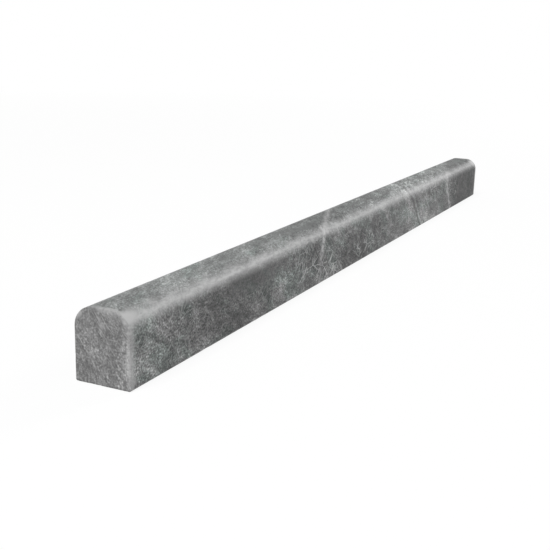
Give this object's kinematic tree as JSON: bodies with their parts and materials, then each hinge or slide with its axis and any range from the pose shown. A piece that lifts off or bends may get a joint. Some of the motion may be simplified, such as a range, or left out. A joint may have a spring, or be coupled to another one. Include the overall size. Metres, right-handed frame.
{
  "type": "stone liner tile",
  "caption": "Straight grey marble liner tile: a slim solid bar with a flat back, square-cut ends and rounded long edges on its face, set as a trim course in a tiled wall.",
  "frame": {"origin": "middle of the flat back, where the bar rests", "axes": "+X along the length of the bar, +Y across its width, +Z from the flat back to the rounded face"},
  "size_m": [0.305, 0.015, 0.018],
  "materials": {
    "grey_marble": "honed grey marble with fine pale veins"
  },
  "bodies": {
    "root": {"liner_tile": "grey_marble"}
  },
  "joints": []
}
